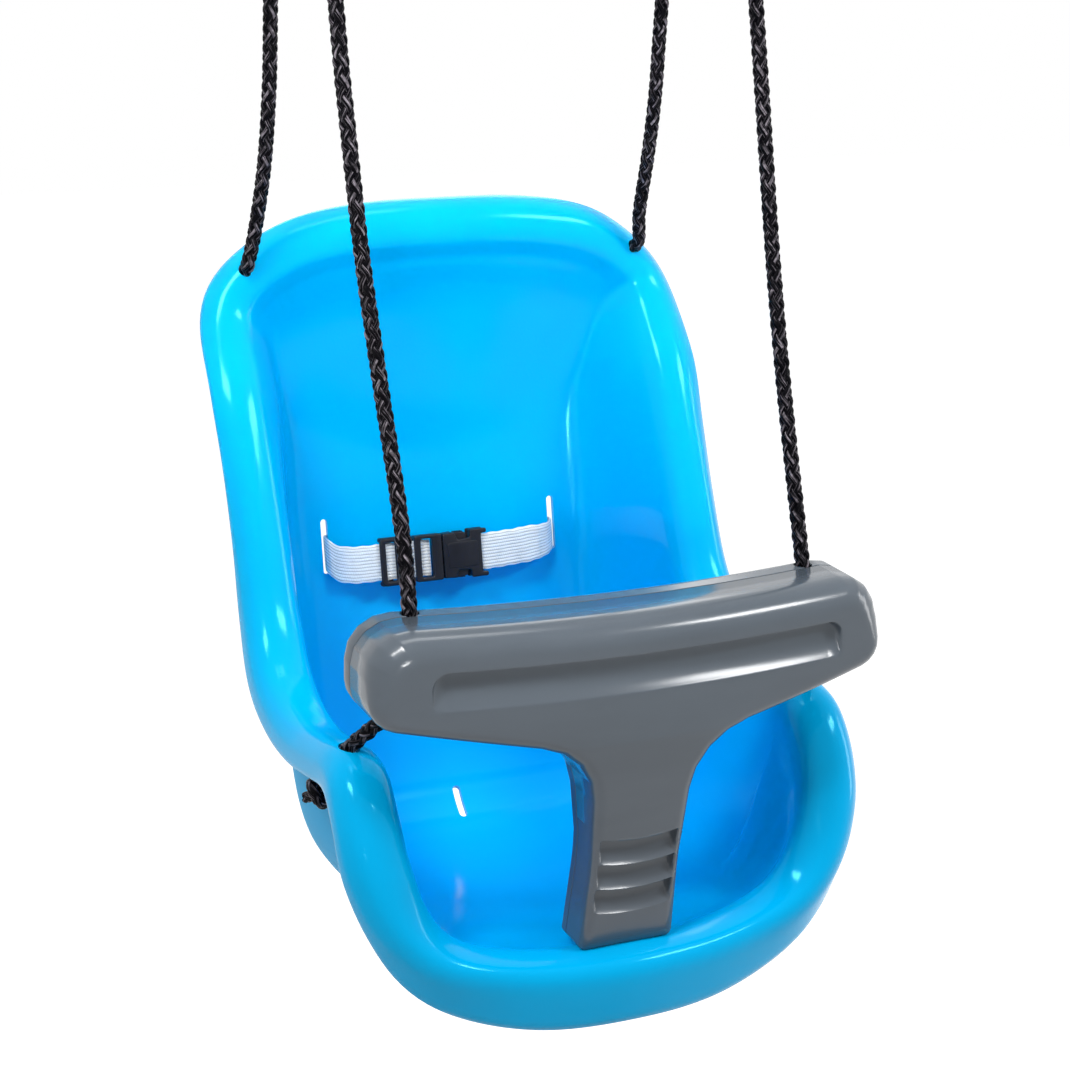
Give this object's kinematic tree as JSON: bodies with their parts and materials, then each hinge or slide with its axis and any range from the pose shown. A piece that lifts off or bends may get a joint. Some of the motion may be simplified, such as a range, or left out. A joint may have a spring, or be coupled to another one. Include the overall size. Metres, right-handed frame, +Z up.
{
  "type": "baby swing seat",
  "caption": "Moulded blue bucket seat for a baby, hung on two black ropes, with a grey sliding T-shaped safety bar and a white lap belt with a black buckle.",
  "frame": {"origin": "midway between the two hanging rings, at the height of their inner tops where hooks bear", "axes": "+X to the right of a viewer who faces the seat's front, +Y from the front to the back, +Z up; the seat hangs at rest"},
  "size_m": [0.345, 0.3645, 0.9003],
  "materials": {
    "shell_blue": "glossy moulded",
    "bar_grey": "glossy moulded",
    "rope_black": "braided cord",
    "webbing_white": "woven webbing",
    "buckle_black": "satin moulded",
    "steel": "bright plated"
  },
  "bodies": {
    "rings": {"ring_left": "steel", "ring_right": "steel"},
    "seat": {"seat_shell": "shell_blue", "rope_left": "rope_black", "rope_right": "rope_black", "knot_front_left": "rope_black", "knot_front_right": "rope_black", "knot_rear_left": "rope_black", "knot_rear_right": "rope_black", "thimble_left": "steel", "thimble_right": "steel", "belt_webbing": "webbing_white", "buckle_female": "buckle_black", "buckle_male": "buckle_black"},
    "bar": {"bar_front_shell": "bar_grey", "bar_rear_shell": "bar_grey", "bar_screw_1": "steel", "bar_screw_2": "steel", "bar_screw_3": "steel", "bar_screw_4": "steel", "bar_screw_5": "steel"},
    "slider": {"belt_slider": "buckle_black"},
    "upper_prong": {"prong_upper": "buckle_black"},
    "lower_prong": {"prong_lower": "buckle_black"}
  },
  "joints": [
    {"name": "swing", "type": "hinge", "parent": "rings", "child": "seat", "pos_m": [0, 0, -0.0435], "axis": [1, 0, 0], "range_deg": [-45, 45]},
    {"name": "bar_slide", "type": "slide", "parent": "seat", "child": "bar", "axis": [0, 0.2486, 0.9686], "range_m": [0, 0.24], "deforming": ["rope_left", "rope_right"]},
    {"name": "belt_adjust", "type": "slide", "parent": "seat", "child": "slider", "axis": [-1, 0, 0], "range_m": [0, 0.01]},
    {"name": "upper_prong_squeeze", "type": "slide", "parent": "seat", "child": "upper_prong", "axis": [0, -0.1485, -0.9889], "range_m": [0, 0.0022], "stiffness_N_per_m": 2000},
    {"name": "lower_prong_squeeze", "type": "slide", "parent": "seat", "child": "lower_prong", "axis": [0, 0.1485, 0.9889], "range_m": [0, 0.0022], "stiffness_N_per_m": 2000}
  ]
}
